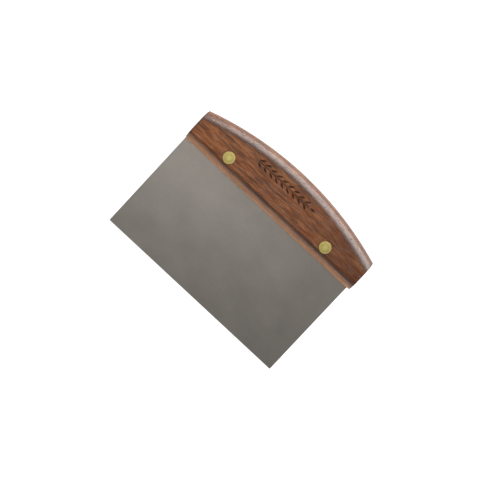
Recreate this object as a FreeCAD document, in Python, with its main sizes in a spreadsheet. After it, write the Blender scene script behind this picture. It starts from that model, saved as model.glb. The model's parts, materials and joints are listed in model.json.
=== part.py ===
import FreeCAD, Part
import os

import Sketcher

# Bench scraper: a plain steel blade held in a slotted walnut handle by two brass cutler's rivets.
#
# Each body is drawn in the tool's own drawing frame: X runs along the handle, Y goes up the blade
# from the cutting edge to the crown of the handle, and Z is the direction of thickness, with zero
# in the middle of the blade. The placements then lay the tool on a bench the way it rests there:
# the back of the cutting edge and the handle's lower back arris touch the plane Z = 0, and the
# origin is under the middle of the tool's bounding box. All sizes are in millimetres.

SIZES = (
    ("blade_width", 152.4),
    ("blade_reach", 78.0),              # cutting edge to the underside of the handle
    ("blade_height", 95.25),
    ("blade_thickness", 1.3),
    ("blade_shift", 0.9),               # how far the blade sits towards -X in the handle
    ("blade_corner_radius", 0.6),
    ("blade_edge_break", 0.12),
    ("blade_hole_diameter", 5.3),
    ("handle_length", 154.2),
    ("handle_height", 37.0),            # at the middle of the crown
    ("handle_thickness", 18.0),
    ("blank_thickness", 18.4),          # before the two faces are sanded flat
    ("lower_edge_radius", 8.0),
    ("crown_edge_radius", 9.15),
    ("crown_radius", 251.0),
    ("kerf_width", 1.4),
    ("kerf_depth", 18.0),
    ("rivet_spacing", 90.0),
    ("rivet_height", 10.1),             # above the underside of the handle
    ("rivet_bore_diameter", 5.04),
    ("recess_diameter", 8.95),
    ("recess_depth", 1.82),
    ("head_diameter", 8.7),
    ("head_depth", 1.8),
    ("head_flat_diameter", 6.3),
    ("head_setback", 0.05),             # the flat of a head lies this far below the handle's face
    ("head_fall", 0.12),                # and the rim lies this far below the flat
    ("tube_diameter", 5.0),
    ("tube_length", 13.5),
    ("tube_bore_diameter", 3.44),
    ("tube_bore_depth", 14.4),
    ("shank_diameter", 3.4),
    ("shank_length", 12.5),
    ("tip_chamfer", 0.35),
    ("ornament_start", -28.5),          # where the engraved ear of wheat begins along the handle
    ("ornament_height", 22.6),          # its stem, above the underside of the handle
    ("ornament_depth", 0.25),
    ("stem_length", 46.5),
    ("stem_width", 0.5),
    ("grain_length", 5.0),
    ("grain_width", 1.5),
    ("grain_angle", 32.0),              # degrees from the stem
    ("grain_gap", 0.6),                 # from the stem's middle to the foot of a grain
    ("grain_pitch", 5.2),
    ("grain_pairs", 9),
)

# Expressions used by more than one feature.
HANDLE_TOP = "Sizes.blade_reach + Sizes.handle_height"
RIVET_LEVEL = "Sizes.blade_reach + Sizes.rivet_height"
STEM_LEVEL = "Sizes.blade_reach + Sizes.ornament_height"
FACE_LEVEL = "Sizes.handle_thickness / 2"

CUT_MARGIN = 5.0                        # how far a cutting profile runs past the wood
SHORTEST_RUN = 1.0                      # an edge this long in a direction is taken to run along it
FLATNESS = 0.01                         # an edge this short in a direction lies across it


def make_sheet(doc):
    """Put every driving dimension in a spreadsheet cell with an alias."""
    sheet = doc.addObject("Spreadsheet::Sheet", "Sizes")
    for row, (alias, value) in enumerate(SIZES, start=1):
        sheet.set(f"A{row}", alias)
        sheet.set(f"B{row}", str(value))
        sheet.setAlias(f"B{row}", alias)
    doc.recompute()


def make_body(doc, label):
    body = doc.addObject("PartDesign::Body", label)
    body.Label = label
    return body


def make_sketch(body, name, plane_role, offset=None):
    """Attach a new sketch to one of the body's own origin planes, lifted along its normal."""
    sketch = body.newObject("Sketcher::SketchObject", name)
    plane = next(item for item in body.Origin.OriginFeatures if item.Role == plane_role)
    sketch.AttachmentSupport = (plane, [""])
    sketch.MapMode = "FlatFace"
    if offset is not None:
        sketch.setExpression("AttachmentOffset.Base.z", offset)
    return sketch


def number(sketch, expression):
    return float(sketch.evalExpression(expression))


def pin_point(sketch, geometry, vertex, x_expression, y_expression):
    """Fix a point of the sketch at coordinates that follow the spreadsheet."""
    axis_of = {"DistanceX": -2, "DistanceY": -1}
    for kind, expression in (("DistanceX", x_expression), ("DistanceY", y_expression)):
        if expression == "0":
            sketch.addConstraint(Sketcher.Constraint("PointOnObject", geometry, vertex, axis_of[kind]))
            continue
        value = number(sketch, expression)
        index = sketch.addConstraint(Sketcher.Constraint(kind, -1, 1, geometry, vertex, value))
        sketch.setExpression(f"Constraints[{index}]", expression)


def draw_polygon(sketch, corners):
    """Draw a closed outline whose corners are pairs of expressions."""
    points = [FreeCAD.Vector(number(sketch, x), number(sketch, y), 0) for x, y in corners]
    first = sketch.GeometryCount
    count = len(points)
    for index, point in enumerate(points):
        sketch.addGeometry(Part.LineSegment(point, points[(index + 1) % count]))
    for index, (x_expression, y_expression) in enumerate(corners):
        line = first + index
        before = first + (index - 1) % count
        sketch.addConstraint(Sketcher.Constraint("Coincident", before, 2, line, 1))
        pin_point(sketch, line, 1, x_expression, y_expression)


def draw_rectangle(sketch, left, right, bottom, top):
    draw_polygon(sketch, ((left, bottom), (right, bottom), (right, top), (left, top)))


def draw_circle(sketch, x_expression, y_expression, diameter_expression):
    centre = FreeCAD.Vector(number(sketch, x_expression), number(sketch, y_expression), 0)
    radius = number(sketch, diameter_expression) / 2
    circle = sketch.addGeometry(Part.Circle(centre, FreeCAD.Vector(0, 0, 1), radius))
    index = sketch.addConstraint(Sketcher.Constraint("Diameter", circle, 2 * radius))
    sketch.setExpression(f"Constraints[{index}]", diameter_expression)
    pin_point(sketch, circle, 3, x_expression, y_expression)


def pad_both_ways(body, sketch, name, thickness):
    pad = body.newObject("PartDesign::Pad", name)
    pad.Profile = sketch
    pad.SideType = "Symmetric"
    pad.setExpression("Length", thickness)
    return pad


def cut_through(body, sketch, name):
    """Cut the profile right through the solid, both ways from the sketch."""
    pocket = body.newObject("PartDesign::Pocket", name)
    pocket.Profile = sketch
    pocket.SideType = "Symmetric"
    pocket.Type = "ThroughAll"


def drill(doc, body, sketch, name, diameter):
    """Drill right through, from the sketch's plane against its normal."""
    hole = body.newObject("PartDesign::Hole", name)
    hole.Profile = sketch
    doc.recompute()
    hole.ThreadType = "None"
    hole.DepthType = "ThroughAll"
    hole.setExpression("Diameter", diameter)


def edges_where(feature, wanted):
    """Names of the feature's edges for which wanted(edge) holds."""
    edges = feature.Shape.Edges
    return [f"Edge{index}" for index, edge in enumerate(edges, start=1) if wanted(edge)]


def runs_along_x(edge):
    return edge.BoundBox.XLength > SHORTEST_RUN


def is_lower_edge(edge):
    return runs_along_x(edge) and edge.BoundBox.YLength < FLATNESS


def is_crown_edge(edge):
    return runs_along_x(edge) and edge.BoundBox.YLength > SHORTEST_RUN


def runs_along_z(edge):
    return edge.BoundBox.ZLength > SHORTEST_RUN


def lies_across_z(edge):
    return edge.BoundBox.ZLength < FLATNESS


def round_edges(doc, body, name, edge_names, radius):
    """Round some edges of the body's last feature."""
    base = body.Tip
    fillet = body.newObject("PartDesign::Fillet", name)
    fillet.Base = (base, edge_names)
    fillet.setExpression("Radius", radius)
    doc.recompute()


def break_edges(doc, body, name, edge_names, size):
    """Chamfer some edges of the body's last feature."""
    base = body.Tip
    chamfer = body.newObject("PartDesign::Chamfer", name)
    chamfer.Base = (base, edge_names)
    chamfer.setExpression("Size", size)
    doc.recompute()


def make_blade(doc):
    """A square-cornered plate: the exposed blade and the strip that the handle holds."""
    body = make_body(doc, "blade")
    left = "-Sizes.blade_width / 2 - Sizes.blade_shift"
    right = "Sizes.blade_width / 2 - Sizes.blade_shift"
    outline = make_sketch(body, "BladeOutline", "XY_Plane")
    draw_rectangle(outline, left, right, "0", "Sizes.blade_height")
    plate = pad_both_ways(body, outline, "BladePlate", "Sizes.blade_thickness")
    doc.recompute()

    corners = edges_where(plate, runs_along_z)
    round_edges(doc, body, "BladeCorners", corners, "Sizes.blade_corner_radius")
    rims = edges_where(body.Tip, lies_across_z)
    break_edges(doc, body, "BladeEdgeBreak", rims, "Sizes.blade_edge_break")

    holes = make_sketch(body, "BladeHoles", "XY_Plane", "Sizes.blade_thickness / 2")
    for side in ("-", ""):
        draw_circle(holes, f"{side}Sizes.rivet_spacing / 2", RIVET_LEVEL, "Sizes.blade_hole_diameter")
    drill(doc, body, holes, "BladeRivetHoles", "Sizes.blade_hole_diameter")
    return body


def draw_handle_outline(sketch):
    """Straight underside, two square ends and one arc for the crown."""
    half_length = number(sketch, "Sizes.handle_length / 2")
    bottom = number(sketch, "Sizes.blade_reach")
    radius = number(sketch, "Sizes.crown_radius")
    centre_y = number(sketch, HANDLE_TOP) - radius
    end_y = centre_y + (radius ** 2 - half_length ** 2) ** 0.5
    lower_left = FreeCAD.Vector(-half_length, bottom, 0)
    lower_right = FreeCAD.Vector(half_length, bottom, 0)
    upper_left = FreeCAD.Vector(-half_length, end_y, 0)
    upper_right = FreeCAD.Vector(half_length, end_y, 0)
    crown_top = FreeCAD.Vector(0, centre_y + radius, 0)

    underside = sketch.addGeometry(Part.LineSegment(lower_left, lower_right))
    right_end = sketch.addGeometry(Part.LineSegment(lower_right, upper_right))
    crown = sketch.addGeometry(Part.Arc(upper_right, crown_top, upper_left))
    left_end = sketch.addGeometry(Part.LineSegment(upper_left, lower_left))

    sketch.addConstraint(Sketcher.Constraint("Coincident", underside, 2, right_end, 1))
    sketch.addConstraint(Sketcher.Constraint("Coincident", right_end, 2, crown, 1))
    sketch.addConstraint(Sketcher.Constraint("Coincident", crown, 2, left_end, 1))
    sketch.addConstraint(Sketcher.Constraint("Coincident", left_end, 2, underside, 1))
    sketch.addConstraint(Sketcher.Constraint("Vertical", right_end))
    sketch.addConstraint(Sketcher.Constraint("Vertical", left_end))
    pin_point(sketch, underside, 1, "-Sizes.handle_length / 2", "Sizes.blade_reach")
    pin_point(sketch, underside, 2, "Sizes.handle_length / 2", "Sizes.blade_reach")
    pin_point(sketch, crown, 3, "0", f"{HANDLE_TOP} - Sizes.crown_radius")
    index = sketch.addConstraint(Sketcher.Constraint("Radius", crown, radius))
    sketch.setExpression(f"Constraints[{index}]", "Sizes.crown_radius")


def draw_grain(sketch, side, foot_x, foot_gap, angle):
    """Draw one grain of wheat as a slender lozenge beside the stem, on the side given by + or -."""
    length = "Sizes.grain_length"
    width = "Sizes.grain_width"
    along_x = f"({length} * cos({angle}))"
    along_y = f"({length} * sin({angle}))"
    across_x = f"({width} / 2 * sin({angle}))"
    across_y = f"({width} / 2 * cos({angle}))"
    draw_polygon(sketch, (
        (foot_x, f"{STEM_LEVEL} {side} {foot_gap}"),
        (f"{foot_x} + {along_x} / 2 + {across_x}",
         f"{STEM_LEVEL} {side} ({foot_gap} + {along_y} / 2 - {across_y})"),
        (f"{foot_x} + {along_x}", f"{STEM_LEVEL} {side} ({foot_gap} + {along_y})"),
        (f"{foot_x} + {along_x} / 2 - {across_x}",
         f"{STEM_LEVEL} {side} ({foot_gap} + {along_y} / 2 + {across_y})"),
    ))


def engrave(body, sketch, name):
    """Cut a shallow recess inwards from the front face."""
    pocket = body.newObject("PartDesign::Pocket", name)
    pocket.Profile = sketch
    pocket.setExpression("Length", "Sizes.ornament_depth")
    return pocket


def engrave_ear_of_wheat(doc, body):
    """A shallow engraved ear of wheat on the front face: a stem, paired grains and a last one."""
    start = "Sizes.ornament_start"
    stem = make_sketch(body, "WheatStem", "XY_Plane", FACE_LEVEL)
    end = f"{start} + Sizes.stem_length"
    half_width = "Sizes.stem_width / 2"
    draw_rectangle(stem, start, end, f"{STEM_LEVEL} - {half_width}", f"{STEM_LEVEL} + {half_width}")
    draw_grain(stem, "+", f"{end} + Sizes.grain_gap", "0", "0 deg")
    engrave(body, stem, "WheatStemCut")

    pair = make_sketch(body, "WheatPair", "XY_Plane", FACE_LEVEL)
    for side in ("+", "-"):
        draw_grain(pair, side, start, "Sizes.grain_gap", "(Sizes.grain_angle * 1 deg)")
    pair_cut = engrave(body, pair, "WheatPairCut")

    row = body.newObject("PartDesign::LinearPattern", "WheatGrains")
    row.Originals = [pair_cut]
    row.Direction = (pair, ["H_Axis"])
    row.setExpression("Length", "Sizes.grain_pitch * (Sizes.grain_pairs - 1)")
    row.setExpression("Occurrences", "Sizes.grain_pairs")
    body.Tip = row
    doc.recompute()


def make_handle(doc):
    """One walnut block: rounded long edges, flat faces, a saw kerf, rivet bores and an ornament."""
    body = make_body(doc, "handle")
    outline = make_sketch(body, "HandleOutline", "XY_Plane")
    draw_handle_outline(outline)
    blank = pad_both_ways(body, outline, "HandleBlank", "Sizes.blank_thickness")
    doc.recompute()

    lower_edges = edges_where(blank, is_lower_edge)
    round_edges(doc, body, "LowerEdges", lower_edges, "Sizes.lower_edge_radius")
    crown_edges = edges_where(body.Tip, is_crown_edge)
    round_edges(doc, body, "CrownEdges", crown_edges, "Sizes.crown_edge_radius")

    faces = make_sketch(body, "SandedFaces", "YZ_Plane")
    low = f"Sizes.blade_reach - {CUT_MARGIN}"
    high = f"{HANDLE_TOP} + {CUT_MARGIN}"
    draw_rectangle(faces, low, high, FACE_LEVEL, f"{FACE_LEVEL} + {CUT_MARGIN}")
    draw_rectangle(faces, low, high, f"-{FACE_LEVEL} - {CUT_MARGIN}", f"-{FACE_LEVEL}")
    cut_through(body, faces, "FlatFaces")
    doc.recompute()

    kerf = make_sketch(body, "KerfProfile", "YZ_Plane")
    kerf_half = "Sizes.kerf_width / 2"
    draw_rectangle(kerf, low, "Sizes.blade_reach + Sizes.kerf_depth", f"-{kerf_half}", kerf_half)
    cut_through(body, kerf, "Kerf")

    bores = make_sketch(body, "RivetBores", "XY_Plane", FACE_LEVEL)
    for side in ("-", ""):
        draw_circle(bores, f"{side}Sizes.rivet_spacing / 2", RIVET_LEVEL, "Sizes.rivet_bore_diameter")
    drill(doc, body, bores, "RivetBoreHoles", "Sizes.rivet_bore_diameter")

    for name, level, outward in (("Front", FACE_LEVEL, False), ("Back", f"-{FACE_LEVEL}", True)):
        recess = make_sketch(body, f"{name}RecessCircles", "XY_Plane", level)
        for side in ("-", ""):
            draw_circle(recess, f"{side}Sizes.rivet_spacing / 2", RIVET_LEVEL, "Sizes.recess_diameter")
        pocket = body.newObject("PartDesign::Pocket", f"{name}Recesses")
        pocket.Profile = recess
        pocket.Reversed = outward
        pocket.setExpression("Length", "Sizes.recess_depth")
    engrave_ear_of_wheat(doc, body)
    return body


def make_turned(doc, label, profile):
    """A body turned about its own Z axis from a closed half section in the XZ plane."""
    body = make_body(doc, label)
    section = make_sketch(body, "HalfSection", "XZ_Plane")
    draw_polygon(section, profile)
    turning = body.newObject("PartDesign::Revolution", "Turning")
    turning.Profile = section
    turning.ReferenceAxis = (section, ["V_Axis"])
    turning.Angle = 360.0
    return body


def head_section(side):
    """The outer points of a rivet head, from under its rim to the middle of its top."""
    face = f"{side}{FACE_LEVEL}"
    inwards = "-" if side == "" else "+"
    flat = f"{face} {inwards} Sizes.head_setback"
    return (
        ("Sizes.head_diameter / 2", f"{face} {inwards} Sizes.head_depth"),
        ("Sizes.head_diameter / 2", f"{flat} {inwards} Sizes.head_fall"),
        ("Sizes.head_flat_diameter / 2", flat),
        ("0", flat),
    )


def male_section():
    """Solid shank with a chamfered tip, hanging from a head in the front face."""
    tip = f"{FACE_LEVEL} - Sizes.head_depth - Sizes.shank_length"
    radius = "Sizes.shank_diameter / 2"
    return (
        ("0", tip),
        (f"{radius} - Sizes.tip_chamfer", tip),
        (radius, f"{tip} + Sizes.tip_chamfer"),
        (radius, f"{FACE_LEVEL} - Sizes.head_depth"),
    ) + head_section("")


def female_section():
    """Tube with a blind bore, standing on a head in the back face."""
    mouth = f"-{FACE_LEVEL} + Sizes.head_depth + Sizes.tube_length"
    bore = "Sizes.tube_bore_diameter / 2"
    tube = "Sizes.tube_diameter / 2"
    return (
        ("0", f"{mouth} - Sizes.tube_bore_depth"),
        (bore, f"{mouth} - Sizes.tube_bore_depth"),
        (bore, f"{mouth} - Sizes.tip_chamfer"),
        (f"{bore} + Sizes.tip_chamfer", mouth),
        (tube, mouth),
        (tube, f"-{FACE_LEVEL} + Sizes.head_depth"),
    ) + head_section("-")


def lay_on_bench(body, x_expression="0", y_expression="0"):
    """Tilt the tool to its lying position and bring the origin under its middle.

    arris is how far up the tool the handle's flat back meets its lower rounding, and lean is the
    angle at which the back of the cutting edge and that arris both touch the bench.
    """
    radius = "Sizes.lower_edge_radius"
    rise = f"({FACE_LEVEL} - Sizes.blank_thickness / 2 + {radius})"
    arris = f"(Sizes.blade_reach + {radius} - sqrt({radius} ^ 2 - {rise} ^ 2))"
    lean = f"atan(({FACE_LEVEL} - Sizes.blade_thickness / 2) / {arris})"
    lift = f"Sizes.blade_thickness / 2 * cos({lean})"
    crown_line = f"({HANDLE_TOP} - Sizes.crown_edge_radius) * cos({lean})"
    crown_centre = "(Sizes.blank_thickness / 2 - Sizes.crown_edge_radius)"
    far_side = f"({crown_line} + {crown_centre} * sin({lean}) + Sizes.crown_edge_radius)"
    near_side = f"(Sizes.blade_thickness / 2 * sin({lean}))"
    middle = f"(({far_side} - {near_side}) / 2)"
    base = (
        f"vector({x_expression}; ({y_expression}) * cos({lean}) - {middle};"
        f" ({y_expression}) * sin({lean}) + {lift})"
    )
    body.setExpression("Placement", f"placement({base}; rotation(vector(1; 0; 0); {lean}))")


def check(doc, parts):
    """Stop before anything is written if a feature or a finished shape isn't sound."""
    for item in doc.Objects:
        if "Invalid" in item.State or "Error" in item.State:
            raise RuntimeError(f"{item.Name} failed: {item.State}")
    for body in parts:
        if body.Shape.isNull() or not body.Shape.isValid() or len(body.Shape.Solids) != 1:
            raise RuntimeError(f"{body.Label} is not one sound solid")


def main():
    doc = FreeCAD.newDocument("BenchScraper")
    make_sheet(doc)
    blade = make_blade(doc)
    handle = make_handle(doc)
    lay_on_bench(blade)
    lay_on_bench(handle)
    parts = [blade, handle]
    for side, sign in (("left", "-"), ("right", "")):
        for half, section in (("male", male_section()), ("female", female_section())):
            rivet = make_turned(doc, f"rivet_{side}_{half}", section)
            lay_on_bench(rivet, f"{sign}Sizes.rivet_spacing / 2", RIVET_LEVEL)
            parts.append(rivet)
    doc.recompute()
    check(doc, parts)

    os.makedirs("parts", exist_ok=True)
    for body in parts:
        body.Shape.exportStep(f"parts/{body.Label}.step")
        box = body.Shape.optimalBoundingBox(False)
        print(f"{body.Label}: {body.Shape.Volume:.1f} mm3, z {box.ZMin:.3f} to {box.ZMax:.3f}")


main()
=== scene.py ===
import json
import math

import bmesh
import bpy
from mathutils import Matrix, Vector


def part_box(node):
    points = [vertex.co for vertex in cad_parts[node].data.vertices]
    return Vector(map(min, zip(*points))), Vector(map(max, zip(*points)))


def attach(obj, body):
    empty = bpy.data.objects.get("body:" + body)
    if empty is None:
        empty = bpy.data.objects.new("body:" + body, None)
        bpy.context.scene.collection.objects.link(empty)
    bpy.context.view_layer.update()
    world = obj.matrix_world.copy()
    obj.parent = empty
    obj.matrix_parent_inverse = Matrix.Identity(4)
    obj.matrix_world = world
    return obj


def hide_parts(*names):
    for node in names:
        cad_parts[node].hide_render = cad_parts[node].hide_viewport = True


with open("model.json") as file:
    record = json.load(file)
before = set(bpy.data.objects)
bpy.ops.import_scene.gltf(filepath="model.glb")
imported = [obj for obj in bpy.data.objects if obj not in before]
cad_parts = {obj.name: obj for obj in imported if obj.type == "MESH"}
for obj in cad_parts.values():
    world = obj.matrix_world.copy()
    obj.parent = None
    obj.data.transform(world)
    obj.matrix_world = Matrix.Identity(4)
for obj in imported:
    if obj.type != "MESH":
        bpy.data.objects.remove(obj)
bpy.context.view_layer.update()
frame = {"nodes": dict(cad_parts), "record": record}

# The tool is drawn in its own frame and then laid on the bench. X runs along the handle, Y goes up
# the blade from the cutting edge, and Z is the direction of thickness, zero in the blade's middle.
MM = 0.001
MOUNTS = {mount["name"]: mount for mount in frame["record"]["mounts"]}
EDGE_POINT = Vector(MOUNTS["cutting_edge"]["pos_m"])
BACK_NORMAL = Vector(MOUNTS["handle_back"]["axis"])
LEAN = math.atan2(BACK_NORMAL.y, -BACK_NORMAL.z)
TOOL_TO_ROW = Matrix.Translation((0, EDGE_POINT.y, EDGE_POINT.z)) @ Matrix.Rotation(LEAN, 4, "X")
ROW_TO_TOOL = TOOL_TO_ROW.inverted()

HALF_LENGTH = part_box("handle")[1].x
HANDLE_BOTTOM = 78.0 * MM
HANDLE_TOP = 115.0 * MM
HANDLE_FACE = 9.0 * MM
CROWN_RADIUS = 251.0 * MM
LOWER_CENTRE = 1.2 * MM             # how far the lower rounding's centre is off the middle plane
LOWER_WIDTH = 6.1 * MM              # from the outline to the arris, seen square on
LOWER_SWAY = 0.40 * MM              # how far that width wanders along the handle
RESTING_WIDTH = 6.25 * MM           # the back lies on its arris, so it's never narrower than this
CROWN_CENTRE = 0.05 * MM
CROWN_WIDTH = 7.4 * MM
CROWN_SWAY = 0.10 * MM
QUICK_SWAY = 0.06 * MM              # the shorter waves in the width of every rounding
RIGHT_GAIN = 1.1 * MM               # how much wider the roundings are at the right end
END_ROUND = 0.25 * MM
KERF_HALF = 0.7 * MM
KERF_TOP = HANDLE_BOTTOM + 18.0 * MM

HEAD_RADIUS = 4.35 * MM
RIVET_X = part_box("rivet_right_male")[1].x - HEAD_RADIUS
RIVET_Y = HANDLE_BOTTOM + 10.1 * MM


# ---------------------------------------------------------------- node graphs

class Graph:
    """Builds a node tree with short calls. Sockets are passed as values."""

    def __init__(self, tree):
        self.tree = tree
        self.tree.nodes.clear()

    def node(self, kind, inputs=None, **options):
        """Make one node. Inputs that are sockets are linked, and other values are set."""
        made = self.tree.nodes.new(kind)
        for name, value in options.items():
            setattr(made, name, value)
        for name, value in (inputs or {}).items():
            if isinstance(value, bpy.types.NodeSocket):
                self.tree.links.new(value, made.inputs[name])
            else:
                made.inputs[name].default_value = value
        return made

    def position(self):
        """The point in the tool's own frame."""
        point = self.node("ShaderNodeTexCoord").outputs["Object"]
        inputs = {"Vector": point, "Rotation": (-LEAN, 0, 0), "Location": ROW_TO_TOOL.translation}
        return self.node("ShaderNodeMapping", inputs).outputs[0]

    def normal(self):
        """The surface's direction in the tool's own frame."""
        direction = self.node("ShaderNodeTexCoord").outputs["Normal"]
        turned = self.node("ShaderNodeMapping", {"Vector": direction, "Rotation": (-LEAN, 0, 0)})
        return turned.outputs[0]

    def stretch(self, vector, scale, shift=(0, 0, 0)):
        """Scale a point for a texture, and shift it so that no two textures are alike."""
        inputs = {"Vector": vector, "Location": shift, "Scale": scale}
        return self.node("ShaderNodeMapping", inputs).outputs[0]

    def noise(self, vector, scale, detail=2.0, roughness=0.5):
        inputs = {"Vector": vector, "Scale": scale, "Detail": detail, "Roughness": roughness}
        return self.node("ShaderNodeTexNoise", inputs).outputs[0]

    def math(self, operation, first, second=0.5):
        inputs = {0: first, 1: second}
        return self.node("ShaderNodeMath", inputs, operation=operation).outputs[0]

    def add(self, first, second):
        return self.math("ADD", first, second)

    def times(self, first, second):
        return self.math("MULTIPLY", first, second)

    def remap(self, value, low, high, new_low=0.0, new_high=1.0):
        """Turn low..high into new_low..new_high, held at its ends."""
        inputs = {"Value": value, "From Min": low, "From Max": high, "To Min": new_low,
                  "To Max": new_high}
        return self.node("ShaderNodeMapRange", inputs).outputs[0]

    def mix(self, factor, first, second):
        """Mix two colours. Sockets 6 and 7 are this node's colour inputs, output 2 its colour."""
        inputs = {0: factor, 6: first, 7: second}
        return self.node("ShaderNodeMix", inputs, data_type="RGBA").outputs[2]

    def split(self, vector):
        return self.node("ShaderNodeSeparateXYZ", {0: vector}).outputs

    def bump(self, height, distance, strength):
        inputs = {"Height": height, "Distance": distance, "Strength": strength}
        return self.node("ShaderNodeBump", inputs).outputs[0]


def new_material(name):
    material = bpy.data.materials.new(name)
    material.use_nodes = True
    return material, Graph(material.node_tree)


def finish_material(graph, **inputs):
    """Join a Principled shader with these inputs to the output."""
    shader = graph.node("ShaderNodeBsdfPrincipled", inputs)
    graph.node("ShaderNodeOutputMaterial", {"Surface": shader.outputs[0]})


# ---------------------------------------------------------------- materials

WALNUT_ORANGE = (0.149, 0.0370, 0.0030, 1)
# a darker copy of the orange, for painted shade towards the right
WALNUT_ORANGE_SHADED = (0.074, 0.0182, 0.0036, 1)
WALNUT_AMBER = (0.168, 0.0585, 0.0120, 1)
WALNUT_DARK = (0.043, 0.0142, 0.0040, 1)
WALNUT_PALE = (0.205, 0.0860, 0.0330, 1)
WALNUT_PORE = (0.020, 0.008, 0.004, 1)
# painted shade along the arrises
WALNUT_ARRIS_SHADE = (0.030, 0.013, 0.008, 1)
# painted bounce light on the rounding next to the blade
WALNUT_BOUNCE_LIT = (0.350, 0.178, 0.092, 1)
STEEL_DEEP = (0.535, 0.489, 0.438, 1)
STEEL_BRIGHT = (0.642, 0.587, 0.526, 1)
STEEL_SPOT = (0.05, 0.05, 0.05, 1)
# painted shade on the steel next to the handle
STEEL_HANDLE_SHADE = (0.05, 0.045, 0.04, 1)
BRASS_DEEP = (0.78, 0.655, 0.232, 1)
BRASS_BRIGHT = (0.86, 0.755, 0.335, 1)
BRASS_RING = (0.67, 0.515, 0.125, 1)
PAPER_DEEP = (0.44, 0.44, 0.44, 1)
PAPER_BRIGHT = (0.46, 0.46, 0.46, 1)

# How fine each texture is along X, Y and Z, in features per metre.
WALNUT_CLOUDS = (16, 60, 60)
WALNUT_PATCHES = (45, 170, 170)
WALNUT_FIGURE = (150, 600, 600)
WALNUT_STREAKS = (45, 640, 640)
WALNUT_FIBRES = (110, 1500, 1500)
WALNUT_FLECKS = (210, 2600, 2600)
STEEL_BRUSHING = (40, 5200, 40)
STEEL_CLOUDS = (45, 60, 60)
BRASS_SCRATCHES = (300, 6000, 300)

GRAIN_RELIEF = 0.08 * MM
BRUSHING_RELIEF = 0.006 * MM
SCRATCH_RELIEF = 0.008 * MM
HANDLE_SHADE_REACH = 20 * MM                # how far down from the handle the steel's painted shade reaches
CHAR_AND_SHADE_SHARE = 0.75                  # how dark the engraving's char and the painted shade in the rivets' recesses are
OILED_SHINE = 0.55
CHAR_AND_SHADE_SHINE = 0.2


def band(g, value, rise, full, fall, gone):
    """0 up to rise, 1 from full to fall, and 0 again from gone on."""
    return g.times(g.remap(value, rise, full), g.remap(value, gone, fall))


def crown_rim_shade(g, along, up, facing):
    """A dark line of painted shade on the flat faces, just inside the arris of the crown."""
    climb = g.math("SUBTRACT", up, HANDLE_TOP - CROWN_RADIUS)
    reach = g.math("SQRT", g.add(g.times(along, along), g.times(climb, climb)))
    depth = g.math("SUBTRACT", CROWN_RADIUS, reach)
    line = band(g, depth, CROWN_WIDTH - 1.0 * MM, CROWN_WIDTH - 0.4 * MM, CROWN_WIDTH,
                CROWN_WIDTH + 1.8 * MM)
    return g.times(line, g.remap(facing, 0.93, 0.96, 0.0, 0.8))


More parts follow.
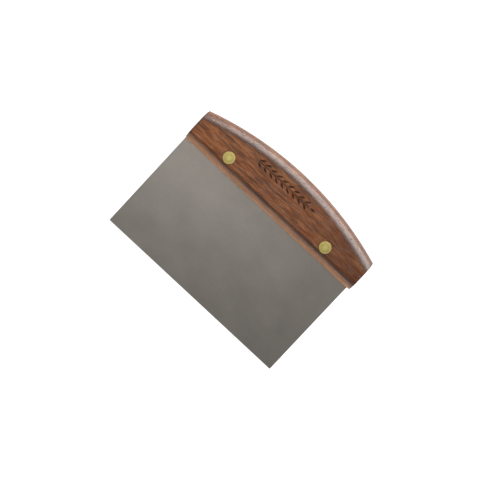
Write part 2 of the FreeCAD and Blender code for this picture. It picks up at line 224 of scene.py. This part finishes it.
def walnut_material(name, char_and_shade=0.0):
    """Oiled walnut: fine fibres and open pores along X, orange and dark patches, painted shade
    along the arrises.

    The rounding next to the blade is lightened with painted bounce light. The second argument is
    how far all of it is darkened, 0 to 1: char for the engraving, painted shade in the rivets'
    recesses.
    """
    material, g = new_material(name)
    point = g.position()
    along, up, _ = g.split(point)
    clouds = g.noise(g.stretch(point, WALNUT_CLOUDS), 1.0, 2.0)
    patches = g.noise(g.stretch(point, WALNUT_PATCHES, (7.7, 1.3, 0)), 1.0, 3.0, 0.55)
    figure = g.noise(g.stretch(point, WALNUT_FIGURE, (1.9, 4.4, 0)), 1.0, 2.0, 0.6)
    streaks = g.noise(g.stretch(point, WALNUT_STREAKS, (3.1, 0, 0)), 1.0, 3.0, 0.6)
    fibres = g.noise(g.stretch(point, WALNUT_FIBRES), 1.0, 3.0, 0.65)
    flecks = g.noise(g.stretch(point, WALNUT_FLECKS, (0, 5.2, 0)), 1.0, 1.0, 0.4)
    pore = g.remap(flecks, 0.60, 0.70)

    # The ground colour drifts from orange on the left to a darker copy of the orange on the right,
    # where it's calmer: the clouds make the tone wander, and the steady fall to the right is
    # painted shade.
    tone_and_shade_drift = g.add(g.times(along, 7.0), clouds)
    lively = g.remap(tone_and_shade_drift, 0.3, 1.1, 1.1, 0.35)
    colour = g.mix(g.remap(tone_and_shade_drift, 0.05, 1.05), WALNUT_ORANGE, WALNUT_ORANGE_SHADED)
    colour = g.mix(g.remap(patches, 0.50, 0.66, 0.0, 0.8), colour, WALNUT_AMBER)

    # Each layer of grain fades in where its texture goes from the first value to the second.
    for texture, low, high, strength, tint in (
            (figure, 0.49, 0.36, 0.52, WALNUT_DARK), (figure, 0.52, 0.64, 0.50, WALNUT_PALE),
            (streaks, 0.50, 0.63, 0.90, WALNUT_DARK), (fibres, 0.50, 0.72, 0.80, WALNUT_PALE),
            (fibres, 0.48, 0.34, 0.50, WALNUT_DARK)):
        amount = g.times(g.remap(texture, low, high, 0.0, strength), lively)
        colour = g.mix(amount, colour, tint)
    colour = g.mix(g.times(pore, 0.7), colour, WALNUT_PORE)
    # Painted shade deepens towards the right end of the handle.
    right_end_shade = g.remap(along, 0.40 * HALF_LENGTH, HALF_LENGTH, 0.0, 0.40)
    colour = g.mix(right_end_shade, colour, WALNUT_DARK)

    # The direction of the surface tells the crown, the lower rounding, the faces and the ends.
    endways, upward, outward = g.split(g.normal())
    downward = g.times(upward, -1.0)
    facing = g.math("ABSOLUTE", outward)
    # Painted shade in a band next to each arris, on the lower rounding and on the crown, with a
    # painted shade line on the flat faces inside the crown's arris.
    arris_shade = g.math("MAXIMUM", band(g, downward, 0.12, 0.32, 0.42, 0.78),
                    band(g, upward, 0.12, 0.20, 0.24, 0.36))
    painted_arris_shade = g.math("MAXIMUM", arris_shade, crown_rim_shade(g, along, up, facing))
    uneven = g.remap(clouds, 0.25, 0.65, 0.35, 0.75)
    colour = g.mix(g.times(painted_arris_shade, uneven), colour, WALNUT_ARRIS_SHADE)
    # Painted bounce light makes the lower rounding paler towards the blade.
    bounce_light = g.add(g.remap(downward, 0.46, 0.98, 0.0, 0.70), g.remap(downward, 0.88, 0.98, 0.0, 0.22))
    bounce_light = g.times(bounce_light, g.remap(streaks, 0.40, 0.65, 1.15, 0.75))
    colour = g.mix(bounce_light, colour, WALNUT_BOUNCE_LIT)
    # Painted shade on the crown's rounding: deepest next to the arris, lighter across the middle,
    # deeper again at the top.
    crown_shade = g.math("SUBTRACT", g.remap(upward, 0.10, 0.26, 0.0, 0.5),
                     g.remap(upward, 0.45, 0.70, 0.0, 0.25))
    crown_shade = g.add(crown_shade, g.remap(upward, 0.82, 0.96, 0.0, 0.2))
    colour = g.mix(crown_shade, colour, WALNUT_PORE)
    end_grain = g.remap(g.math("ABSOLUTE", endways), 0.1, 0.8, 0.0, 0.45)
    end_edge = g.remap(g.math("ABSOLUTE", along), HALF_LENGTH - 2.6 * MM, HALF_LENGTH, 0.0, 0.4)
    colour = g.mix(g.math("MAXIMUM", end_grain, end_edge), colour, WALNUT_DARK)
    if char_and_shade:
        colour = g.mix(char_and_shade, colour, WALNUT_PORE)

    dry = g.add(g.remap(downward, 0.40, 0.80, 0.0, 0.16), g.times(arris_shade, 0.12))
    flat = g.times(g.remap(facing, 0.975, 0.998, 0.0, 0.25),
                   g.remap(along, 0.0, HALF_LENGTH, 1.0, 0.40))
    roughness = g.add(g.remap(fibres, 0.3, 0.7, 0.22, 0.32), g.add(dry, flat))
    height = g.add(g.times(fibres, 0.5), g.times(streaks, 0.2))
    height = g.math("SUBTRACT", height, pore)
    normal = g.bump(height, GRAIN_RELIEF, 0.7)
    finish_material(g, **{"Base Color": colour, "Roughness": roughness, "Normal": normal,
                          "Specular IOR Level": CHAR_AND_SHADE_SHINE if char_and_shade else OILED_SHINE})
    return material


def steel_material():
    """Satin stainless sheet: faint brushing, soft cloudy patches, and painted shade next to the
    handle.
    """
    material, g = new_material("satin_steel")
    point = g.position()
    _, up, _ = g.split(point)
    brushing = g.noise(g.stretch(point, STEEL_BRUSHING), 1.0, 3.0, 0.6)
    clouds = g.noise(g.stretch(point, STEEL_CLOUDS), 1.0, 3.0, 0.5)
    spots = g.noise(point, 420.0, 2.0, 0.5)
    shade = g.add(g.times(brushing, 0.35), g.times(clouds, 0.65))
    colour = g.mix(g.remap(shade, 0.30, 0.70), STEEL_DEEP, STEEL_BRIGHT)
    colour = g.mix(g.remap(spots, 0.35, 0.65, 0.0, 0.03), colour, STEEL_SPOT)
    # Painted shade on the steel just below the handle.
    handle_shade = g.remap(up, HANDLE_BOTTOM - HANDLE_SHADE_REACH, HANDLE_BOTTOM, 0.0, 0.13)
    colour = g.mix(handle_shade, colour, STEEL_HANDLE_SHADE)
    roughness = g.add(g.remap(clouds, 0.3, 0.7, 0.31, 0.33), g.times(spots, 0.04))
    normal = g.bump(brushing, BRUSHING_RELIEF, 0.5)
    finish_material(g, **{"Base Color": colour, "Roughness": roughness, "Normal": normal,
                          "Metallic": 1.0})
    return material


def brass_material():
    """Sanded brass with fine scratches, slightly mottled, and a deeper ring on each head."""
    material, g = new_material("sanded_brass")
    point = g.position()
    along, up, _ = g.split(point)
    sideways = g.math("SUBTRACT", g.math("ABSOLUTE", along), RIVET_X)
    upwards = g.math("SUBTRACT", up, RIVET_Y)
    middle = g.node("ShaderNodeCombineXYZ", {0: sideways, 1: upwards}).outputs[0]
    radius = g.node("ShaderNodeVectorMath", {0: middle}, operation="LENGTH").outputs[1]
    mottle = g.noise(point, 900.0, 3.0, 0.6)
    ring = band(g, radius, 1.0 * MM, 2.3 * MM, 3.2 * MM, 4.0 * MM)
    scratches = g.noise(g.stretch(point, BRASS_SCRATCHES), 1.0, 2.0, 0.6)
    colour = g.mix(g.remap(mottle, 0.3, 0.7), BRASS_DEEP, BRASS_BRIGHT)
    uneven = g.remap(mottle, 0.35, 0.65, 0.3, 1.0)
    colour = g.mix(g.times(ring, uneven), colour, BRASS_RING)
    roughness = g.remap(mottle, 0.3, 0.7, 0.44, 0.54)
    normal = g.bump(scratches, SCRATCH_RELIEF, 0.5)
    finish_material(g, **{"Base Color": colour, "Roughness": roughness, "Normal": normal,
                          "Metallic": 1.0})
    return material


# ---------------------------------------------------------------- meshes

def mesh_object(name, vertices, faces):
    mesh = bpy.data.meshes.new(name)
    mesh.from_pydata(vertices, [], faces)
    mesh.validate()
    made = bpy.data.objects.new(name, mesh)
    bpy.context.scene.collection.objects.link(made)
    return made


def face_outward(piece):
    """Turn every face of a closed mesh to the outside."""
    mesh = bmesh.new()
    mesh.from_mesh(piece.data)
    bmesh.ops.recalc_face_normals(mesh, faces=mesh.faces)
    mesh.to_mesh(piece.data)
    mesh.free()


def seat_in_row(piece, replaced):
    piece.data.transform(TOOL_TO_ROW)
    piece.data.update()
    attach(piece, "root")
    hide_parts(replaced)


ROUND_STEPS = 18
FACE_STEPS = 10
END_STEPS = 5
STATIONS = 150


def hand_finish(x, which, sway):
    """How much wider rounding number which (0 to 3) is at x, where the sanding wandered."""
    along = x / HALF_LENGTH
    slow = math.sin(4.2 * along - 2.6 + 2.9 * which)
    quick = (math.sin(11.9 * along + 1.3 * which) + 0.6 * math.sin(23.0 * along + 4.7 * which)
             + 0.5 * math.sin(61.0 * along + 2.9 * which))
    return sway * slow + QUICK_SWAY * quick + RIGHT_GAIN * max(0.0, along) ** 3


def rounding(width, centre, inset):
    """Points (depth, height) of one rounding, from the outline to the arris.

    The arc is square to the middle plane at the outline and meets the flat face at the arris.
    centre is how far the arc's centre is off the middle plane, and inset shrinks the section, for
    the softened ends.
    """
    rise = HANDLE_FACE - centre
    radius = (width ** 2 + rise ** 2) / (2 * width)
    small = radius - inset
    last = math.asin((rise - inset) / small)
    points = []
    for step in range(ROUND_STEPS + 1):
        angle = last * step / ROUND_STEPS
        points.append((radius - small * math.cos(angle), centre + small * math.sin(angle)))
    return points


def crown_y(x, depth):
    """Height of the line that lies depth inside the crown, at x."""
    return HANDLE_TOP - CROWN_RADIUS + math.sqrt((CROWN_RADIUS - depth) ** 2 - x ** 2)


def half_section(x, inset, side):
    """Points (y, z) from the kerf mouth round one side of the handle to the top of the crown."""
    front = side > 0
    low_width = LOWER_WIDTH + hand_finish(x, 0 if front else 1, LOWER_SWAY)
    if not front:
        low_width = max(low_width, RESTING_WIDTH)
    high_width = CROWN_WIDTH + hand_finish(x, 2 if front else 3, CROWN_SWAY)
    bottom = rounding(low_width, LOWER_CENTRE, inset)
    crown = rounding(high_width, CROWN_CENTRE, inset)
    points = [(HANDLE_BOTTOM + bottom[0][0], side * KERF_HALF)]
    points += [(HANDLE_BOTTOM + depth, side * z) for depth, z in bottom]
    low = points[-1][0]
    high = crown_y(x, crown[-1][0])
    face = side * bottom[-1][1]
    points += [(low + (high - low) * step / FACE_STEPS, face) for step in range(1, FACE_STEPS)]
    points += [(crown_y(x, depth), side * z) for depth, z in reversed(crown)]
    return points


def handle_blank():
    """The block with its rounded edges and kerf, as a loft of sections along X."""
    flat = HALF_LENGTH - END_ROUND
    stations = []
    for step in range(END_STEPS):
        angle = math.pi / 2 * step / END_STEPS
        stations.append((-flat - END_ROUND * math.cos(angle), END_ROUND * (1 - math.sin(angle))))
    middle = [(-flat + 2 * flat * step / STATIONS, 0.0) for step in range(STATIONS + 1)]
    stations = stations + middle + [(-x, inset) for x, inset in reversed(stations)]
    vertices = []
    for x, inset in stations:
        front = half_section(x, inset, 1)
        back = half_section(x, inset, -1)
        ring = front + list(reversed(back))
        ring += [(KERF_TOP, -KERF_HALF), (KERF_TOP, KERF_HALF)]
        vertices += [(x, y, z) for y, z in ring]
    count = len(ring)
    faces = []
    for row in range(len(stations) - 1):
        for place in range(count):
            after = (place + 1) % count
            faces.append((row * count + place, row * count + after,
                          (row + 1) * count + after, (row + 1) * count + place))
    faces.append(tuple(reversed(range(count))))
    faces.append(tuple(range((len(stations) - 1) * count, len(stations) * count)))
    blank = mesh_object("walnut_handle", vertices, faces)
    face_outward(blank)
    return blank


def prism(outline, low, high):
    """Vertices and faces of a straight prism on a closed outline of (x, y) points."""
    count = len(outline)
    vertices = [(x, y, low) for x, y in outline] + [(x, y, high) for x, y in outline]
    faces = [tuple(reversed(range(count))), tuple(range(count, 2 * count))]
    for place in range(count):
        after = (place + 1) % count
        faces.append((place, after, count + after, count + place))
    return vertices, faces


def cutter(name, shapes, material):
    """One object from several prisms, to be cut out of the handle."""
    vertices = []
    faces = []
    for shape_vertices, shape_faces in shapes:
        first = len(vertices)
        vertices += shape_vertices
        faces += [tuple(first + index for index in face) for face in shape_faces]
    made = mesh_object(name, vertices, faces)
    made.data.materials.append(material)
    return made


def cut_out(piece, tool):
    """Cut tool out of piece and remove it. The cut faces keep the tool's material."""
    modifier = piece.modifiers.new("cut", "BOOLEAN")
    modifier.object = tool
    modifier.operation = "DIFFERENCE"
    modifier.solver = "EXACT"
    modifier.material_mode = "TRANSFER"
    graph = bpy.context.evaluated_depsgraph_get()
    mesh = bpy.data.meshes.new_from_object(piece.evaluated_get(graph))
    piece.modifiers.clear()
    old = piece.data
    piece.data = mesh
    bpy.data.meshes.remove(old)
    bpy.data.objects.remove(tool)


def circle(x, y, radius, segments=72):
    turn = 2 * math.pi / segments
    return [(x + radius * math.cos(turn * k), y + radius * math.sin(turn * k))
            for k in range(segments)]


STEM_Y = HANDLE_BOTTOM + 22.6 * MM
STEM_START = -28.5 * MM
STEM_LENGTH = 46.5 * MM
STEM_WIDTH = 0.5 * MM
GRAIN_LENGTH = 5.0 * MM
GRAIN_WIDTH = 1.5 * MM
GRAIN_ANGLE = math.radians(32.0)
GRAIN_GAP = 0.6 * MM
GRAIN_PITCH = 5.2 * MM
GRAIN_PAIRS = 9
CUT_DEPTH = 0.25 * MM

BORE_RADIUS = 2.52 * MM
RECESS_RADIUS = 4.475 * MM
RECESS_DEPTH = 1.82 * MM
CUTTER_MARGIN = 2 * MM              # how far the cutters stick out of the handle's faces
HANDLE_CREASE = math.radians(9)     # edges sharper than this are shaded as edges
RIVET_CREASE = math.radians(35)


def grain(foot_x, foot_y, angle, side):
    """A slender pointed oval, like a grain of wheat, leaning out from the stem."""
    steps = 8
    outline = []
    for step in range(steps):
        share = step / steps
        outline.append((share, -math.sin(math.pi * share)))
    outline += [(1.0, 0.0)]
    outline += [(share, -swell) for share, swell in reversed(outline[1:-1])]
    points = []
    for share, swell in outline:
        along = GRAIN_LENGTH * share
        across = GRAIN_WIDTH / 2 * swell
        points.append((foot_x + along * math.cos(angle) - across * math.sin(angle),
                       foot_y + side * (along * math.sin(angle) + across * math.cos(angle))))
    return points if side > 0 else list(reversed(points))


def ear_of_wheat():
    """Outlines of the engraved ornament: a stem, paired grains and a last one."""
    end = STEM_START + STEM_LENGTH
    half = STEM_WIDTH / 2
    outlines = [[(STEM_START, STEM_Y - half), (end, STEM_Y - half), (end, STEM_Y + half),
                 (STEM_START, STEM_Y + half)]]
    for pair in range(GRAIN_PAIRS):
        for side in (1, -1):
            foot = STEM_START + GRAIN_PITCH * pair
            outlines.append(grain(foot, STEM_Y + side * GRAIN_GAP, GRAIN_ANGLE, side))
    outlines.append(grain(end + GRAIN_GAP, STEM_Y, 0.0, 1))
    return outlines


def make_handle(walnut, char_and_shade):
    """The slotted block with its rivet holes and its ornament."""
    handle = handle_blank()
    handle.data.materials.append(walnut)
    above = HANDLE_FACE + CUTTER_MARGIN
    recess_floor = HANDLE_FACE - RECESS_DEPTH
    bores = []
    recesses = []
    for x in (-RIVET_X, RIVET_X):
        bores.append(prism(circle(x, RIVET_Y, BORE_RADIUS), -above, above))
        recess = circle(x, RIVET_Y, RECESS_RADIUS)
        recesses += [prism(recess, recess_floor, above), prism(recess, -above, -recess_floor)]
    cut_out(handle, cutter("bores", bores, walnut))
    # The recesses' cut faces take the darkened walnut, as painted shade in the gap round each head.
    cut_out(handle, cutter("recesses", recesses, char_and_shade))
    marks = [prism(outline, HANDLE_FACE - CUT_DEPTH, above) for outline in ear_of_wheat()]
    cut_out(handle, cutter("marks", marks, char_and_shade))
    handle.data.shade_smooth()
    handle.data.set_sharp_from_angle(angle=HANDLE_CREASE)
    seat_in_row(handle, "handle")
    return handle


def lathe(name, profile, segments=96):
    """Turn a half section of (radius, z) points, from axis to axis, about Z."""
    vertices = []
    faces = []
    rings = []
    for radius, z in profile:
        if radius == 0.0:
            rings.append([len(vertices)])
            vertices.append((0.0, 0.0, z))
            continue
        first = len(vertices)
        rings.append(list(range(first, first + segments)))
        for x, y in circle(0.0, 0.0, radius, segments):
            vertices.append((x, y, z))
    for lower, upper in zip(rings, rings[1:]):
        for place in range(segments):
            after = (place + 1) % segments
            if len(lower) == 1:
                faces.append((lower[0], upper[after], upper[place]))
            elif len(upper) == 1:
                faces.append((lower[place], lower[after], upper[0]))
            else:
                faces.append((lower[place], lower[after], upper[after], upper[place]))
    return mesh_object(name, vertices, faces)


HEAD_DEPTH = 1.8 * MM
HEAD_SETBACK = 0.05 * MM            # the heads lie this far below the wood
HEAD_STEPS = 6
HEAD_CROWN = 0.02 * MM              # how far the head falls from its middle to the ring line
RING_RADIUS = 3.1 * MM
RING_HALF_WIDTH = 0.12 * MM
RING_DEPTH = 0.06 * MM
LIP_DROP = 0.035 * MM               # the outer side of the ring line
SLOPE_WIDTH = 0.5 * MM              # from the ring line to the start of the last slope
SLOPE_DROP = 0.045 * MM
RIM_ROUND = 0.12 * MM
RIM_DROP = 0.08 * MM
RIVET_CHAMFER = 0.35 * MM
SHANK_RADIUS = 1.7 * MM
SHANK_LENGTH = 12.5 * MM
TUBE_RADIUS = 2.5 * MM
TUBE_LENGTH = 13.5 * MM
TUBE_BORE = 1.72 * MM
TUBE_BORE_DEPTH = 14.4 * MM


def head_profile():
    """Points (radius, height over the face) of a pressed head: low crown, ring line, round rim."""
    top = -HEAD_SETBACK
    points = [(0.0, top)]
    points += [(RING_RADIUS * k / HEAD_STEPS, top - HEAD_CROWN * (k / HEAD_STEPS) ** 2)
               for k in range(1, HEAD_STEPS)]
    points += [(RING_RADIUS - RING_HALF_WIDTH, top - HEAD_CROWN), (RING_RADIUS, top - RING_DEPTH),
               (RING_RADIUS + RING_HALF_WIDTH, top - LIP_DROP),
               (RING_RADIUS + SLOPE_WIDTH, top - SLOPE_DROP)]
    middle = HEAD_RADIUS - RIM_ROUND
    edge = top - RIM_DROP
    for k in range(HEAD_STEPS + 1):
        angle = math.pi / 2 * k / HEAD_STEPS
        points.append((middle + RIM_ROUND * math.sin(angle),
                       edge - RIM_ROUND + RIM_ROUND * math.cos(angle)))
    return points


def male_profile():
    """The solid half: a head and a chamfered shank."""
    tip = -HEAD_DEPTH - SHANK_LENGTH
    return head_profile() + [
        (HEAD_RADIUS, -HEAD_DEPTH), (SHANK_RADIUS, -HEAD_DEPTH),
        (SHANK_RADIUS, tip + RIVET_CHAMFER), (SHANK_RADIUS - RIVET_CHAMFER, tip), (0.0, tip)]


def female_profile():
    """The tube half: a head and a tube that the shank of the solid half goes into."""
    mouth = -HEAD_DEPTH - TUBE_LENGTH
    bottom = mouth + TUBE_BORE_DEPTH
    return head_profile() + [
        (HEAD_RADIUS, -HEAD_DEPTH), (TUBE_RADIUS, -HEAD_DEPTH), (TUBE_RADIUS, mouth),
        (TUBE_BORE + RIVET_CHAMFER, mouth), (TUBE_BORE, mouth + RIVET_CHAMFER), (TUBE_BORE, bottom),
        (0.0, bottom)]


def make_rivet(name, profile, x, side, brass, node):
    """A rivet half whose head sits in the front (side 1) or the back (side -1) of the handle."""
    rivet = lathe(name, [(radius, HANDLE_FACE + z) for radius, z in profile])
    if side < 0:
        rivet.data.transform(Matrix.Rotation(math.pi, 4, "X"))
    rivet.data.transform(Matrix.Translation((x, RIVET_Y, 0)))
    face_outward(rivet)
    rivet.data.shade_smooth()
    rivet.data.set_sharp_from_angle(angle=RIVET_CREASE)
    rivet.data.materials.append(brass)
    seat_in_row(rivet, node)
    return rivet


# ---------------------------------------------------------------- camera, floor and light

CAMERA_TARGET = Vector((-1.05 * MM, -5.43 * MM, 0.0))
CAMERA_DISTANCE = 0.700
CAMERA_LEAN = math.radians(-3.0)        # towards the cutting edge
CAMERA_SIDE = math.radians(-0.72)
CAMERA_ROLL = math.radians(42.94)
LENS = 75.05
SENSOR = 36.0

FLOOR_HALF = 12.0
FLOOR_DROP = 0.02 * MM              # keeps the paper clear of the pieces that rest on the bench
LIGHT_DISTANCE = 1.2
WHITE = (1, 1, 1, 1)
WORLD_STRENGTH = 0.16


def make_camera():
    """Nearly straight above the tool, rolled so that the handle runs down to the right."""
    back = Vector((math.sin(CAMERA_SIDE) * math.cos(CAMERA_LEAN), math.sin(CAMERA_LEAN),
                   math.cos(CAMERA_SIDE) * math.cos(CAMERA_LEAN)))
    right = Vector((0, 1, 0)).cross(back).normalized()
    up = back.cross(right)
    axes = Matrix((right, up, back)).transposed().to_4x4()
    data = bpy.data.cameras.new("camera")
    data.lens = LENS
    data.sensor_width = SENSOR
    camera = bpy.data.objects.new("camera", data)
    place = Matrix.Translation(CAMERA_TARGET + back * CAMERA_DISTANCE)
    camera.matrix_world = place @ axes @ Matrix.Rotation(CAMERA_ROLL, 4, "Z")
    bpy.context.scene.collection.objects.link(camera)
    bpy.context.scene.camera = camera


def make_floor():
    """A large sheet of bright paper just below the bench plane."""
    corners = [(x * FLOOR_HALF, y * FLOOR_HALF, -FLOOR_DROP)
               for x, y in ((-1, -1), (1, -1), (1, 1), (-1, 1))]
    floor = mesh_object("studio_floor", corners, [(0, 1, 2, 3)])
    material, g = new_material("white_paper")
    texture = g.noise(g.node("ShaderNodeTexCoord").outputs["Object"], 60.0, 3.0)
    colour = g.mix(texture, PAPER_DEEP, PAPER_BRIGHT)
    finish_material(g, **{"Base Color": colour, "Roughness": 0.9, "Specular IOR Level": 0.2,
                          "Emission Color": WHITE, "Emission Strength": 1.0})
    floor.data.materials.append(material)


def softbox(name, azimuth, elevation, width, height, radiance, mirrored=True, only=None):
    """A rectangular light aimed at the tool. Azimuth 0 is on the +X side and 90 on the +Y side.

    mirrored says whether it shows in glossy reflections, and only lists the pieces it lights.
    """
    azimuth = math.radians(azimuth)
    elevation = math.radians(elevation)
    direction = Vector((math.cos(azimuth) * math.cos(elevation),
                        math.sin(azimuth) * math.cos(elevation), math.sin(elevation)))
    data = bpy.data.lights.new(name, "AREA")
    data.shape = "RECTANGLE"
    data.size = width
    data.size_y = height
    data.energy = radiance * math.pi * width * height
    lamp = bpy.data.objects.new(name, data)
    lamp.location = direction * LIGHT_DISTANCE
    lamp.rotation_mode = "QUATERNION"
    lamp.rotation_quaternion = (-direction).to_track_quat("-Z", "Y")
    lamp.visible_camera = False
    lamp.visible_glossy = mirrored
    if only is not None:
        lit = bpy.data.collections.new(f"{name}_lit")
        for piece in only:
            lit.objects.link(piece)
        lamp.light_linking.receiver_collection = lit
    bpy.context.scene.collection.objects.link(lamp)


def make_lights(blade, handle, rivets):
    """The studio panels (azimuth, elevation, width, height, radiance) and an even grey world."""
    softbox("key", 68, 31, 2.0, 0.92, 2.4, mirrored=False)
    softbox("sheen", 75, 31, 1.65, 1.15, 6.2, only=[handle])
    softbox("back", 90, 26, 2.4, 0.9, 1.1)
    softbox("fill", 270, 4.5, 2.4, 0.24, 12.0, mirrored=False)
    softbox("haze", 270, 13.0, 2.4, 0.7, 1.1)
    softbox("top", 122, 78.5, 0.75, 0.6, 0.92, only=[blade])
    softbox("heads", 112, 76, 0.8, 0.6, 1.8, only=rivets)
    world = bpy.data.worlds.new("studio")
    bpy.context.scene.world = world
    world.use_nodes = True
    g = Graph(world.node_tree)
    light = g.node("ShaderNodeBackground", {"Color": WHITE, "Strength": WORLD_STRENGTH})
    g.node("ShaderNodeOutputWorld", {"Surface": light.outputs[0]})


# ---------------------------------------------------------------- the scene

def main():
    walnut = walnut_material("oiled_walnut")
    char_and_shade = walnut_material("charred_and_shaded_walnut", char_and_shade=CHAR_AND_SHADE_SHARE)
    brass = brass_material()
    blade = frame["nodes"]["blade"]
    blade.data.materials.clear()
    blade.data.materials.append(steel_material())
    handle = make_handle(walnut, char_and_shade)
    rivets = []
    for hand, x in (("left", -RIVET_X), ("right", RIVET_X)):
        for place, side, profile, half in (("front", 1, male_profile(), "male"),
                                           ("back", -1, female_profile(), "female")):
            rivets.append(make_rivet(f"{hand}_rivet_{place}", profile, x, side, brass,
                                     f"rivet_{hand}_{half}"))
    make_floor()
    make_camera()
    make_lights(blade, handle, rivets)
    bpy.context.scene.view_settings.view_transform = "Standard"


main()
